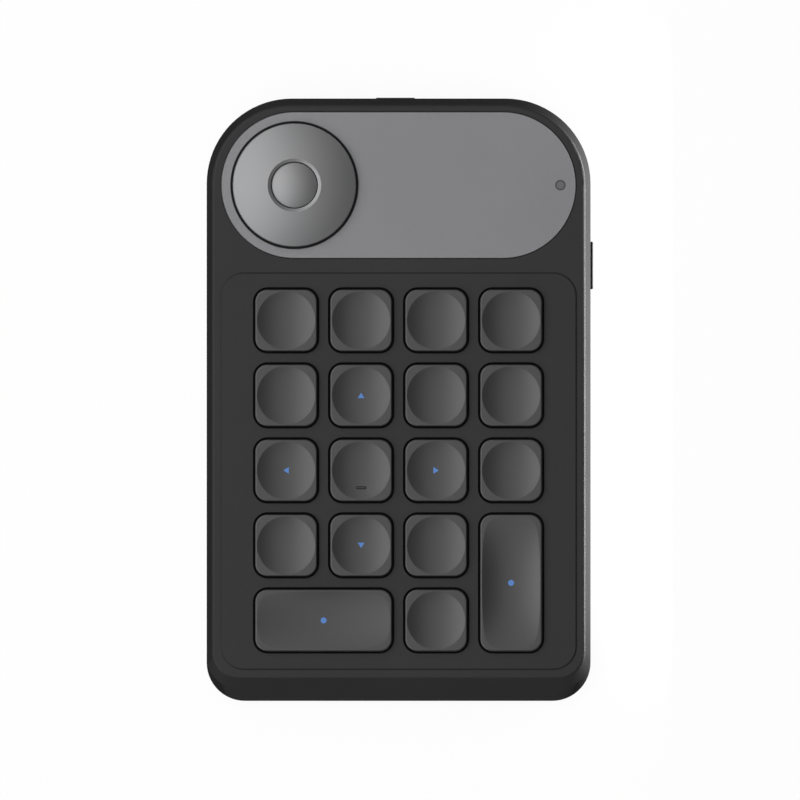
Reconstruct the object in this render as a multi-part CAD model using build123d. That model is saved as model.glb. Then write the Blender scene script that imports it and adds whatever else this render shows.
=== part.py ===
from build123d import *
from math import asin, cos, degrees, radians, sin
import os

# Macro keypad with a dial: a flat wireless keypad with eighteen low-profile keys on a 19.05 mm
# pitch, a domed dial with a push button in its centre, a power button in the right side and a
# USB-C socket in the rear.
# Frame: X to the right, Y to the rear, Z up. The origin lies under the middle of the body, on
# the plane that the rubber feet stand on. All sizes are in millimetres.

# ---- body form --------------------------------------------------------------------------
BODY_WIDTH = 97.5            # widest outline, at the parting line
BODY_LENGTH = 153.0
REAR_CORNER_R = 21.6         # the rear corners are much rounder than the front ones
FRONT_CORNER_R = 9.7
TOP_FRONT_CORNER_R = 6.6
SIDE_SLOPE = 1.5             # how far each wall leans in on its way to the top
REAR_SLOPE = 1.8
FRONT_SLOPE = 5.8
PARTING_Z = 3.6
BAND_Z = 7.6                 # up to here the side and rear walls stand upright
TOP_Z = 11.0
TOP_EDGE_R = 0.75
WALL = 1.8
ROOF = 1.6
REAR_ROOF = 1.2              # what is left of the roof under the faceplate

# ---- bottom case ------------------------------------------------------------------------
FOOT_STAND = 0.8             # how far the feet lift the case off the desk
CASE_FLOOR = 1.5
CASE_UNDERCUT = 2.2          # the case draws in below the parting line
SHADOW_GAP = 0.25
CASE_WALL = 3.1
CASE_EDGE_R = 0.8
LIP_HEIGHT = 1.4
LIP_WALL = 1.0
LIP_CLEARANCE = 0.15
FOOT_LENGTH, FOOT_WIDTH, FOOT_RECESS = 20.0, 6.0, 0.5
FOOT_CLEARANCE, FOOT_EDGE = 0.1, 0.2
FOOT_SIDE_MARGIN, FOOT_FRONT_MARGIN, FOOT_REAR_MARGIN = 20.75, 10.0, 14.0

# ---- boards and key stack ---------------------------------------------------------------
POST_R, POST_HEIGHT = 2.0, 1.0
BOARD_T = 0.8
BOARD_CLEARANCE = 0.4        # between the boards and the case's lip
BOARD_GAP = 1.6              # between the two boards
MAT_T = 0.4
MAT_CLEARANCE = 0.15
MAT_MARGIN = 0.6
FRAME_T = 1.0
FRAME_REAR_MARGIN = 10.15    # from the middle of the rear row
KEY_BOARD_REAR_MARGIN = 13.85

# ---- keys -------------------------------------------------------------------------------
PITCH = 19.05
COLUMNS, ROWS = 4, 5
FIRST_ROW_MARGIN = 34.35     # from the middle of the rear row to the middle of the faceplate
CAP_SIZE = 15.8
CAP_CORNER_R = 3.2
CAP_EDGE_R = 0.4
CAP_TOP_THICKNESS = 2.1
CAP_WALL = 1.0
CAP_STAND = 1.4              # cap top above the key panel
CAP_FLANGE, CAP_FLANGE_T = 1.0, 0.8
CAP_FLANGE_GAP = 0.1
KEY_GAP = 0.52
KEY_TRAVEL = 1.8
DISH_DEPTH = 0.95
DISH_MARGIN = 0.5            # flat rim left beside the dish, at the middle of a side
DISH_FULLNESS = 0.15         # how round the corners of a long dish are: 0 would be square
PLUNGER_R, PLUNGER_CLEARANCE = 2.3, 0.15
CUP_R, CUP_TOP_T, CUP_WALL = 4.8, 1.1, 0.9
CUP_STOP_GAP = 0.1
DOME_BASE_R, DOME_TOP_R, DOME_WALL = 3.3, 2.0, 0.5
DOME_GAP, DOME_CUP_GAP = 0.1, 0.4
HOMING_LENGTH, HOMING_WIDTH, HOMING_RISE, HOMING_OFFSET = 2.6, 0.7, 0.35, 4.4
HOMING_EDGE = 0.25
PANEL_SIDE_MARGIN, PANEL_FRONT_MARGIN, PANEL_REAR_MARGIN = 3.4, 7.8, 12.25
PANEL_CORNER_R, PANEL_RISE, PANEL_EDGE = 6.1, 0.3, 0.45

# ---- stabiliser wires of the two double keys ---------------------------------------------
WIRE_R = 0.5
WIRE_ARM = 6.0
WIRE_SPAN = 26.0
WIRE_TIP = 2.4
WIRE_BEND_R = 1.0
WIRE_BAR_Y = 5.5             # bar's distance from the middle of the key
WIRE_BORE_CLEARANCE = 0.05
HOOK_X, HOOK_LENGTH, HOOK_WIDTH, HOOK_RISE = 9.0, 2.2, 2.0, 0.9
HOOK_MOUTH, HOOK_STOP_GAP = 0.8, 0.2
CLIP_WIDTH, CLIP_LENGTH, CLIP_WALL = 3.2, 1.2, 0.55
CLIP_PLAY, CLIP_SLIDE = 0.15, 0.35

# ---- faceplate and status light -----------------------------------------------------------
PLATE_WIDTH, PLATE_T, PLATE_PROUD = 37.3, 1.25, 0.05
PLATE_SIDE_MARGIN, PLATE_REAR_MARGIN = 3.625, 3.35
PLATE_CLEARANCE = 0.1
PLATE_EDGE = 0.2
LENS_R, LENS_CLEARANCE, LENS_END_MARGIN = 1.0, 0.1, 4.025
LENS_COLLAR_R, LENS_COLLAR_T = 1.8, 0.8
LED_LENGTH, LED_WIDTH, LED_T = 1.6, 0.8, 0.6

# ---- dial ---------------------------------------------------------------------------------
DIAL_R, DIAL_GAP = 15.65, 0.45
DIAL_DOME_R = 45.0
DIAL_TOP_Z = 15.8
DIAL_WALL = 1.3
DIAL_SKIRT_GAP = 0.5
DIAL_EDGE_R = 0.2
LIP_OUTER_R, LIP_INNER_R, LIP_DEPTH = 6.8, 6.0, 0.3
DIAL_CROWN_T = 1.4
HUB_DISC_DROP, HUB_DISC_T = 4.2, 1.1
HUB_WALL, HUB_CLEARANCE, HUB_THRUST_GAP = 1.3, 0.05, 0.1
BUSH_R, BUSH_FOOT_R, BUSH_FOOT_T, BUSH_DROP = 7.25, 9.0, 0.9, 1.7
BUTTON_R, BUTTON_CLEARANCE = 5.7, 0.15
BUTTON_DOME_R, BUTTON_DROP = 16.6, 0.8
BUTTON_FLANGE, BUTTON_FLANGE_T, BUTTON_HEIGHT = 0.6, 0.8, 5.0
BUTTON_STOP_GAP = 0.1
BUTTON_WALL, BUTTON_TOP_T, BUTTON_STEM_R = 1.0, 1.4, 1.8
BUTTON_TRAVEL = 0.5
CLIP_RING_DROP, CLIP_RING_T, CLIP_RING_R, CLIP_GROOVE = 0.6, 0.4, 8.2, 0.4
CLIP_RING_GAP = 0.05
ROTOR_R, ROTOR_RISE, ROTOR_T = 12.0, 1.7, 1.0
ROTOR_FIT = 0.03
DETENTS, DETENT_R, DETENT_DEPTH = 24, 0.8, 0.45
ENCODER_R, ENCODER_WALL, ENCODER_FLOOR, ENCODER_HEIGHT = 13.9, 0.7, 0.6, 3.5
LEAF_GAP, LEAF_T, LEAF_HEIGHT, LEAF_HALF_ANGLE, LEAF_PAD_ANGLE = 0.75, 0.2, 0.8, 35.0, 5.0
NOSE_R = 0.6

# ---- small switches -----------------------------------------------------------------------
SWITCH_SIZE, SWITCH_HEIGHT = 6.0, 3.4
ACTUATOR_R, ACTUATOR_CLEARANCE = 1.7, 0.15
ACTUATOR_OUT, ACTUATOR_IN, SWITCH_TOUCH_GAP = 0.9, 0.9, 0.05
POWER_OFFSET, POWER_LENGTH, POWER_HEIGHT = 20.4, 12.1, 2.4
POWER_PROUD = 0.65           # beyond the widest outline
POWER_GAP, POWER_EDGE_R = 0.2, 0.35
POWER_FLANGE, POWER_FLANGE_T, POWER_FLANGE_GAP = 0.4, 0.8, 0.1
POWER_TRAVEL = 0.3
POWER_ROOM = 0.6
POWER_SWITCH_LENGTH, POWER_SWITCH_DEPTH = 6.0, 4.6
POWER_ACTUATOR_R = 0.9
TAB_SIDE_MARGIN, TAB_REAR_MARGIN = 10.25, 3.5

# ---- USB-C socket ---------------------------------------------------------------------------
USB_X = -0.8
USB_WIDTH, USB_HEIGHT, USB_SHEET, USB_LENGTH = 8.94, 3.26, 0.3, 7.4
USB_PROUD = 0.1
USB_GAP = 0.15
COLLAR_WALL, COLLAR_PROUD = 0.25, 0.2     # moulded rim round the mouth
TONGUE_WIDTH, TONGUE_T, TONGUE_SETBACK, USB_BLOCK = 6.7, 0.7, 0.8, 1.5

# ---- battery, radio and wiring --------------------------------------------------------------
BATTERY_WIDTH, BATTERY_LENGTH, BATTERY_T, BATTERY_EDGE_R = 26.0, 30.0, 4.6, 1.4
BATTERY_TAB_GAP, BATTERY_BOARD_GAP, BATTERY_OFFSET = 1.5, 2.0, 4.0
TAPE_T, TAPE_WIDTH, TAPE_LENGTH = 0.2, 18.0, 22.0
LEAD_R, LEAD_SPACING, LEAD_BEND_R, LEAD_OFFSET = 0.45, 1.5, 0.9, 2.4
PLUG_INSET, PLUG_OFFSET, PLUG_LENGTH, PLUG_WIDTH, PLUG_HEIGHT = 5.0, 6.5, 4.4, 5.0, 3.0
RADIO_OFFSET, RADIO_WIDTH, RADIO_LENGTH, RADIO_T = 6.0, 10.0, 13.0, 1.8
RADIO_CORNER_R = 0.4
RIBBON_WIDTH, RIBBON_T, RIBBON_RISE = 9.0, 0.2, 0.5
SOCKET_WIDTH, SOCKET_DEPTH, SOCKET_HEIGHT, SOCKET_EDGE = 11.0, 3.0, 1.2, 0.2

# ---- screws ---------------------------------------------------------------------------------
SCREW_R, SCREW_HEAD_R, SCREW_HEAD_T, SCREW_LENGTH = 0.8, 1.5, 1.0, 6.0
SCREW_FIT, SCREW_CLEARANCE, HEAD_CLEARANCE = 0.02, 0.2, 0.2
SCREW_SINK = 1.2             # from the underside of the case to the head's seat
SCREW_POCKET = 0.4
BOSS_R = 1.8
REAR_SCREW_MARGIN, MAIN_SCREW_SIDE, REAR_SCREW_SIDE = 7.5, 8.7, 13.8

# ---- worked-out places ------------------------------------------------------------------------
SIDE_X = BODY_WIDTH / 2
REAR_Y = BODY_LENGTH / 2
FOOT_X = SIDE_X - FOOT_SIDE_MARGIN
FOOT_FRONT_Y, FOOT_REAR_Y = FOOT_FRONT_MARGIN - REAR_Y, REAR_Y - FOOT_REAR_MARGIN
PLATE_LENGTH = BODY_WIDTH - 2 * PLATE_SIDE_MARGIN
PLATE_Y = REAR_Y - PLATE_REAR_MARGIN - PLATE_WIDTH / 2
DIAL_X = (PLATE_WIDTH - PLATE_LENGTH) / 2    # the plate's round end is concentric with the dial
DIAL_AT = Pos(DIAL_X, PLATE_Y, 0)
LENS_X = PLATE_LENGTH / 2 - LENS_END_MARGIN
FIRST_ROW_Y = PLATE_Y - FIRST_ROW_MARGIN
COLUMN_X = [(column - (COLUMNS - 1) / 2) * PITCH for column in range(COLUMNS)]
ROW_Y = [FIRST_ROW_Y - row * PITCH for row in range(ROWS)]
PANEL_HALF_WIDTH = SIDE_X - PANEL_SIDE_MARGIN
PANEL_FRONT_Y, PANEL_REAR_Y = PANEL_FRONT_MARGIN - REAR_Y, FIRST_ROW_Y + PANEL_REAR_MARGIN
KEY_FRAME_REAR_Y = FIRST_ROW_Y + FRAME_REAR_MARGIN
KEY_BOARD_REAR_Y = FIRST_ROW_Y + KEY_BOARD_REAR_MARGIN
MAIN_BOARD_FRONT_Y = KEY_BOARD_REAR_Y + BOARD_GAP
TAB_LEFT_X = SIDE_X - TAB_SIDE_MARGIN
TAB_REAR_Y = PLATE_Y + TAB_REAR_MARGIN
BATTERY_X = TAB_LEFT_X - BATTERY_TAB_GAP - BATTERY_WIDTH / 2
BATTERY_Y = PLATE_Y - BATTERY_OFFSET
MAIN_BOARD_RIGHT_X = BATTERY_X - BATTERY_WIDTH / 2 - BATTERY_BOARD_GAP
PLUG_X, PLUG_Y = MAIN_BOARD_RIGHT_X - PLUG_INSET, PLATE_Y + PLUG_OFFSET
RADIO_X = (DIAL_X + ENCODER_R + MAIN_BOARD_RIGHT_X) / 2
RADIO_Y = PLATE_Y - RADIO_OFFSET
POWER_Y = PLATE_Y - POWER_OFFSET
POWER_FLANGE_X = SIDE_X - WALL - POWER_FLANGE_GAP
POWER_SWITCH_X = POWER_FLANGE_X - POWER_FLANGE_T - SWITCH_TOUCH_GAP - ACTUATOR_OUT
USB_MOUTH_Y = REAR_Y + USB_PROUD

# ---- worked-out levels ------------------------------------------------------------------------
FLOOR_TOP_Z = FOOT_STAND + CASE_FLOOR
LIP_Z = PARTING_Z + LIP_HEIGHT
PLATE_POCKET_Z = TOP_Z + PLATE_PROUD - PLATE_T
REAR_ROOF_UNDER_Z = PLATE_POCKET_Z - REAR_ROOF
SCREW_SEAT_Z = FOOT_STAND + SCREW_SINK
BOARD_Z = FLOOR_TOP_Z + POST_HEIGHT
BOARD_TOP_Z = BOARD_Z + BOARD_T
FRAME_Z = BOARD_TOP_Z + MAT_T
FRAME_TOP_Z = FRAME_Z + FRAME_T
PANEL_Z = TOP_Z + PANEL_RISE
ROOF_UNDER_Z = TOP_Z - ROOF
CAP_TOP_Z = PANEL_Z + CAP_STAND
CAP_UNDER_Z = CAP_TOP_Z - CAP_TOP_THICKNESS
FLANGE_TOP_Z = ROOF_UNDER_Z - CAP_FLANGE_GAP
CAP_BOTTOM_Z = FLANGE_TOP_Z - CAP_FLANGE_T
CUP_TOP_Z = CAP_UNDER_Z - KEY_TRAVEL - CUP_STOP_GAP
CUP_UNDER_Z = CUP_TOP_Z - CUP_TOP_T
DOME_TOP_Z = CUP_UNDER_Z - DOME_CUP_GAP
PLUNGER_Z = DOME_TOP_Z + DOME_GAP
WIRE_AXIS_Z = CAP_UNDER_Z - KEY_TRAVEL - HOOK_STOP_GAP - HOOK_RISE
WIRE_TILT = degrees(asin(KEY_TRAVEL / 2 / WIRE_ARM))
DIAL_SKIRT_Z = PLATE_POCKET_Z + DIAL_SKIRT_GAP
HUB_R = BUSH_R + HUB_CLEARANCE + HUB_WALL
HUB_DISC_Z = DIAL_TOP_Z - HUB_DISC_DROP
CAP_SEAT_Z = HUB_DISC_Z + HUB_DISC_T
BUSH_TOP_Z = DIAL_TOP_Z - BUSH_DROP
CLIP_RING_Z = BUSH_TOP_Z - CLIP_RING_DROP
BUSH_BORE_R = BUTTON_R + BUTTON_CLEARANCE
BUSH_FLANGE_BORE_R = BUTTON_R + BUTTON_FLANGE + BUTTON_CLEARANCE
BUTTON_RIM_Z = DIAL_TOP_Z - BUTTON_DROP
BUTTON_FLANGE_Z = BUTTON_RIM_Z - BUTTON_HEIGHT
BUSH_STEP_Z = BUTTON_FLANGE_Z + BUTTON_FLANGE_T + BUTTON_STOP_GAP
ROTOR_Z = BOARD_TOP_Z + ROTOR_RISE
LEAF_R = ROTOR_R + LEAF_GAP
SWITCH_TOP_Z = BOARD_TOP_Z + SWITCH_HEIGHT
ACTUATOR_TOP_Z = SWITCH_TOP_Z + ACTUATOR_OUT
POWER_Z = BOARD_TOP_Z + SWITCH_HEIGHT / 2
USB_Z = BOARD_TOP_Z + USB_HEIGHT / 2
BATTERY_Z = FLOOR_TOP_Z + TAPE_T
LEAD_Z = BOARD_TOP_Z + PLUG_HEIGHT / 2

# ---- keys, screws and posts by place ------------------------------------------------------------
SINGLE_KEYS = [(row, column) for row in range(ROWS - 2) for column in range(COLUMNS)]
SINGLE_KEYS += [(3, 0), (3, 1), (3, 2), (4, 2)]
HOMING_KEY = (2, 1)
WIDE_KEY = Pos((COLUMN_X[0] + COLUMN_X[1]) / 2, ROW_Y[4], 0)
TALL_KEY = Pos(COLUMN_X[3], (ROW_Y[3] + ROW_Y[4]) / 2, 0) * Rot(0, 0, 90)
KEY_PLACES = [(Pos(COLUMN_X[column], ROW_Y[row], 0), 1) for row, column in SINGLE_KEYS]
KEY_PLACES += [(WIDE_KEY, 2), (TALL_KEY, 2)]

# The side screws stand between the rows, midway between the outer caps and the case's lip.
KEY_EDGE_X = COLUMN_X[-1] + CAP_SIZE / 2 + CAP_FLANGE
KEY_SCREW_X = (KEY_EDGE_X + SIDE_X - WALL - LIP_CLEARANCE - LIP_WALL) / 2
KEY_SCREW_YS = [ROW_Y[row] - PITCH / 2 for row in (0, 2, 4)]
REAR_SCREW_Y = REAR_Y - REAR_SCREW_MARGIN

# Each screw with the height at which the upper boss meets the stack under it.
SCREWS = [(side * KEY_SCREW_X, y, FRAME_TOP_Z) for side in (-1, 1) for y in KEY_SCREW_YS]
SCREWS += [(USB_X - MAIN_SCREW_SIDE, REAR_SCREW_Y, BOARD_TOP_Z),
           (USB_X + REAR_SCREW_SIDE, REAR_SCREW_Y, BOARD_Z)]
BOARD_POSTS = [(side * PITCH, y) for side in (-1, 0, 1) for y in KEY_SCREW_YS]
BOARD_POSTS += [(DIAL_X, PLATE_Y), (DIAL_X, MAIN_BOARD_FRONT_Y + 2 * POST_R), (USB_X, PLATE_Y)]
FOOT_PLACES = [Pos(side * FOOT_X, y) for side in (-1, 1) for y in (FOOT_FRONT_Y, FOOT_REAR_Y)]


def plan(z, half_width, front_y, rear_y, front_r, rear_r):
    """Flat outline with its own radius at the front and at the rear corners."""
    face = Pos(0, (front_y + rear_y) / 2) * Rectangle(2 * half_width, rear_y - front_y)
    face = fillet(face.vertices().group_by(Axis.Y)[-1], rear_r)
    face = fillet(face.vertices().group_by(Axis.Y)[0], front_r)
    return Pos(0, 0, z) * face


def housing_outline(z, inset=0.0):
    """Section of the upper body at height z, drawn in by inset."""
    rise = max(0, (z - BAND_Z) / (TOP_Z - BAND_Z))
    front_rise = (z - PARTING_Z) / (TOP_Z - PARTING_Z)
    front_r = FRONT_CORNER_R - front_rise * (FRONT_CORNER_R - TOP_FRONT_CORNER_R)
    return plan(
        z,
        BODY_WIDTH / 2 - rise * SIDE_SLOPE - inset,
        -BODY_LENGTH / 2 + front_rise * FRONT_SLOPE + inset,
        BODY_LENGTH / 2 - rise * REAR_SLOPE - inset,
        front_r - inset,
        REAR_CORNER_R - rise * SIDE_SLOPE - inset,
    )


def banded(top_z, inset=0.0):
    """Upper body from the parting line up to top_z: an upright band, then the leaning part."""
    return loft([housing_outline(z, inset) for z in (PARTING_Z, BAND_Z, top_z)], ruled=True)


def case_outline(z, inset):
    """Outline of the widest section, drawn in by inset, at any height."""
    return Pos(0, 0, z - PARTING_Z) * housing_outline(PARTING_Z, inset)


def prism(sketch, low, high):
    """The sketch's shape as an upright solid from low to high."""
    return extrude(Pos(0, 0, low) * sketch, high - low)


def block(x_low, x_high, y_low, y_high, z_low, z_high):
    """Upright box between its corner values."""
    middle = Pos((x_low + x_high) / 2, (y_low + y_high) / 2)
    return prism(middle * Rectangle(x_high - x_low, y_high - y_low), z_low, z_high)


def rod(radius, low, high):
    """Upright cylinder on the Z axis."""
    return prism(Circle(radius), low, high)


def turned(*points):
    """Solid turned about the Z axis from a closed outline of (radius, z) points."""
    return revolve(Plane.XZ * make_face(Polyline(*points, close=True)), Axis.Z)


def key_outline(span, grow, corner_r):
    """Rounded key outline of a key that is span pitches long, grown by grow all round."""
    length = CAP_SIZE + (span - 1) * PITCH
    return RectangleRounded(length + 2 * grow, CAP_SIZE + 2 * grow, corner_r)


# ---- housing --------------------------------------------------------------------------------
def key_panel():
    """Low raised field round the keys, with a sloping edge."""
    foot = panel_outline(TOP_Z - ROOF / 2, 0)
    slope = loft([panel_outline(TOP_Z, 0), panel_outline(PANEL_Z, PANEL_EDGE)], ruled=True)
    return extrude(foot, ROOF / 2) + slope


def panel_outline(z, inset):
    corner_r = PANEL_CORNER_R - inset
    return plan(z, PANEL_HALF_WIDTH - inset, PANEL_FRONT_Y + inset, PANEL_REAR_Y - inset,
                corner_r, corner_r)


def top_housing():
    outer = banded(TOP_Z)
    outer = fillet(outer.edges().group_by(Axis.Z)[-1], TOP_EDGE_R)
    body = outer + key_panel()
    cavity = banded(ROOF_UNDER_Z, WALL)
    rear_roof = block(-BODY_WIDTH, BODY_WIDTH, PLATE_Y - PLATE_WIDTH / 2 - WALL, BODY_LENGTH,
                      REAR_ROOF_UNDER_Z, TOP_Z)
    body -= cavity - rear_roof
    pocket = Pos(0, PLATE_Y) * SlotOverall(
        PLATE_LENGTH + 2 * PLATE_CLEARANCE, PLATE_WIDTH + 2 * PLATE_CLEARANCE)
    body -= prism(pocket, PLATE_POCKET_Z, PANEL_Z)
    body -= DIAL_AT * rod(HUB_R + WALL / 2, REAR_ROOF_UNDER_Z, TOP_Z)
    body -= Pos(LENS_X, PLATE_Y) * rod(LENS_R + LENS_CLEARANCE, REAR_ROOF_UNDER_Z, TOP_Z)
    for place, span in KEY_PLACES:
        window = key_outline(span, KEY_GAP, CAP_CORNER_R + KEY_GAP)
        body -= place * prism(window, ROOF_UNDER_Z, PANEL_Z)
    for x, y, boss_z in SCREWS:
        roof_z = REAR_ROOF_UNDER_Z if y > PLATE_Y else ROOF_UNDER_Z
        pilot_top = SCREW_SEAT_Z + SCREW_LENGTH + SCREW_POCKET
        body += Pos(x, y) * rod(BOSS_R, boss_z, roof_z)
        body -= Pos(x, y) * rod(SCREW_R + SCREW_FIT, boss_z, min(pilot_top, roof_z))
    body += usb_opening(USB_GAP + COLLAR_WALL, COLLAR_PROUD, COLLAR_PROUD + WALL)
    body -= usb_opening(USB_GAP, COLLAR_PROUD)
    window = Rectangle(POWER_LENGTH + 2 * POWER_GAP, POWER_HEIGHT + 2 * POWER_GAP)
    return body - from_side(SIDE_X - 2 * WALL, window, 3 * WALL)


def usb_opening(gap, proud=USB_PROUD, length=USB_LENGTH):
    """Round-ended prism along Y, gap wider all round than the socket's shell."""
    mouth = SlotOverall(USB_WIDTH + 2 * gap, USB_HEIGHT + 2 * gap)
    start = Plane(origin=(USB_X, REAR_Y + proud, USB_Z), x_dir=(1, 0, 0), z_dir=(0, -1, 0))
    return extrude(start * mouth, length)


def lip_outline(inset=0.0):
    """Outline of the case's lip, which stands inside the wall of the upper housing."""
    return housing_outline(LIP_Z, WALL + LIP_CLEARANCE + inset)


def inside_outline(z):
    """Outline of the boards and the key frame, clear of the lip, at height z."""
    return Pos(0, 0, z - LIP_Z) * lip_outline(LIP_WALL + BOARD_CLEARANCE)


def bottom_case():
    outer = loft([case_outline(FOOT_STAND, CASE_UNDERCUT), case_outline(PARTING_Z, SHADOW_GAP)],
                 ruled=True)
    outer = fillet(outer.edges().group_by(Axis.Z)[0], CASE_EDGE_R)
    body = outer - extrude(case_outline(FLOOR_TOP_Z, CASE_WALL), PARTING_Z - FLOOR_TOP_Z)
    lip = lip_outline() - lip_outline(LIP_WALL)
    body += extrude(lip, LIP_Z - FLOOR_TOP_Z, dir=(0, 0, -1))
    for x, y, _ in SCREWS:
        body += Pos(x, y) * rod(BOSS_R, FLOOR_TOP_Z, BOARD_Z)
    for x, y in BOARD_POSTS:
        body += Pos(x, y) * rod(POST_R, FLOOR_TOP_Z, BOARD_Z)
    for x, y, _ in SCREWS:
        body -= Pos(x, y) * rod(SCREW_R + SCREW_CLEARANCE, FOOT_STAND, BOARD_Z)
        body -= Pos(x, y) * rod(SCREW_HEAD_R + HEAD_CLEARANCE, FOOT_STAND, SCREW_SEAT_Z)
    foot = SlotOverall(FOOT_LENGTH + 2 * FOOT_CLEARANCE, FOOT_WIDTH + 2 * FOOT_CLEARANCE)
    for place in FOOT_PLACES:
        body -= place * prism(foot, FOOT_STAND, FOOT_STAND + FOOT_RECESS)
    body -= block(USB_X - USB_WIDTH / 2 - LIP_WALL, USB_X + USB_WIDTH / 2 + LIP_WALL,
                  REAR_Y - 2 * CASE_WALL, REAR_Y, PARTING_Z, LIP_Z)
    return body - power_room(PARTING_Z, LIP_Z)


def power_room(low, high):
    """Space behind the side wall for the power button's flange, all through its travel."""
    half = POWER_LENGTH / 2 + POWER_FLANGE + POWER_ROOM
    return block(POWER_SWITCH_X, SIDE_X, POWER_Y - half, POWER_Y + half, low, high)


def rubber_feet():
    pad = prism(SlotOverall(FOOT_LENGTH, FOOT_WIDTH), 0, FOOT_STAND + FOOT_RECESS)
    pad = chamfer(pad.edges().group_by(Axis.Z)[0], FOOT_EDGE)
    return [place * pad for place in FOOT_PLACES]


def case_screws():
    head_z = SCREW_SEAT_Z - SCREW_HEAD_T
    screw = rod(SCREW_R, SCREW_SEAT_Z, SCREW_SEAT_Z + SCREW_LENGTH)
    screw += rod(SCREW_HEAD_R, head_z, SCREW_SEAT_Z)
    recess = Rectangle(SCREW_R / 2, 2 * SCREW_R) + Rectangle(2 * SCREW_R, SCREW_R / 2)
    screw -= prism(recess, head_z, head_z + SCREW_HEAD_T / 2)
    return [Pos(x, y) * screw for x, y, _ in SCREWS]


def faceplate():
    plate = prism(Pos(0, PLATE_Y) * SlotOverall(PLATE_LENGTH, PLATE_WIDTH), PLATE_POCKET_Z,
                  PLATE_POCKET_Z + PLATE_T)
    plate -= DIAL_AT * rod(DIAL_R + DIAL_GAP, PLATE_POCKET_Z, PLATE_POCKET_Z + PLATE_T)
    plate = chamfer(plate.edges().group_by(Axis.Z)[-1], PLATE_EDGE)
    return plate - Pos(LENS_X, PLATE_Y) * rod(
        LENS_R + LENS_CLEARANCE, PLATE_POCKET_Z, PLATE_POCKET_Z + PLATE_T)


def status_lens():
    """Light pipe from the lamp on the board up to the face of the plate."""
    rod_low = BOARD_TOP_Z + LED_T + LENS_CLEARANCE
    pipe = rod(LENS_R, rod_low, PLATE_POCKET_Z + PLATE_T)
    pipe += rod(LENS_COLLAR_R, REAR_ROOF_UNDER_Z - LENS_COLLAR_T, REAR_ROOF_UNDER_Z)
    return Pos(LENS_X, PLATE_Y) * pipe


def status_led():
    return Pos(LENS_X, PLATE_Y) * prism(
        Rectangle(LED_LENGTH, LED_WIDTH), BOARD_TOP_Z, BOARD_TOP_Z + LED_T)


# ---- keys -----------------------------------------------------------------------------------
def dish(span):
    """Cutter for the hollow in a key top: a ball, or a sagging patch on a double key."""
    half = CAP_SIZE / 2 - DISH_MARGIN
    if span == 1:
        radius = (half**2 + DISH_DEPTH**2) / (2 * DISH_DEPTH)
        return Pos(0, 0, CAP_TOP_Z - DISH_DEPTH + radius) * Sphere(radius)
    # The patch hangs from a frame a little above the rim, so that it meets the rim in an
    # outline with straight sides and round corners.
    frame_rise = DISH_FULLNESS * DISH_DEPTH / (1 - DISH_FULLNESS)
    spread = 1 / (1 - DISH_FULLNESS) ** 0.5
    frame_z = CAP_TOP_Z + frame_rise
    xs = [(half + (span - 1) * PITCH / 2) * spread * side for side in (-1, 0, 1)]
    ys = [half * spread * side for side in (-1, 0, 1)]
    poles = [[(x, y, frame_z) for y in ys] for x in xs]
    poles[1][1] = (0, 0, frame_z - 4 * (DISH_DEPTH + frame_rise))
    return Solid.extrude(Face.make_bezier_surface(poles), Vector(0, 0, 2 * DISH_DEPTH))


def keycap(span):
    cap = prism(key_outline(span, 0, CAP_CORNER_R), CAP_BOTTOM_Z, CAP_TOP_Z)
    cap = fillet(cap.edges().group_by(Axis.Z)[-1], CAP_EDGE_R)
    cap += prism(key_outline(span, CAP_FLANGE, CAP_CORNER_R), CAP_BOTTOM_Z, FLANGE_TOP_Z)
    cap -= prism(key_outline(span, -CAP_WALL, CAP_CORNER_R - CAP_WALL), CAP_BOTTOM_Z,
                 CAP_UNDER_Z)
    cap -= dish(span)
    cap += rod(PLUNGER_R, PLUNGER_Z, CAP_UNDER_Z)
    if span == 2:
        for side in (-1, 1):
            cap += Pos(side * wire_clip_x(), wire_tip_y()) * wire_clip()
    return cap


def homing_bar():
    """Raised bar in the front of the dish, for finding the key by touch."""
    bar = Pos(0, -HOMING_OFFSET) * SlotOverall(HOMING_LENGTH, HOMING_WIDTH)
    bar = prism(bar, CAP_UNDER_Z, CAP_TOP_Z) - Pos(0, 0, HOMING_RISE) * dish(1)
    return chamfer(bar.faces().filter_by(GeomType.SPHERE).edges(), HOMING_EDGE)


def keycaps():
    """Every cap by its node name, each on its own place."""
    caps = {}
    single = keycap(1)
    for row, column in SINGLE_KEYS:
        cap = single
        if (row, column) == HOMING_KEY:
            cap = single + homing_bar()
        caps[f"keycap_row{row + 1}_col{column + 1}"] = Pos(COLUMN_X[column], ROW_Y[row]) * cap
    double = keycap(2)
    caps["keycap_wide"] = WIDE_KEY * double
    caps["keycap_tall"] = TALL_KEY * double
    return caps


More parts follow.
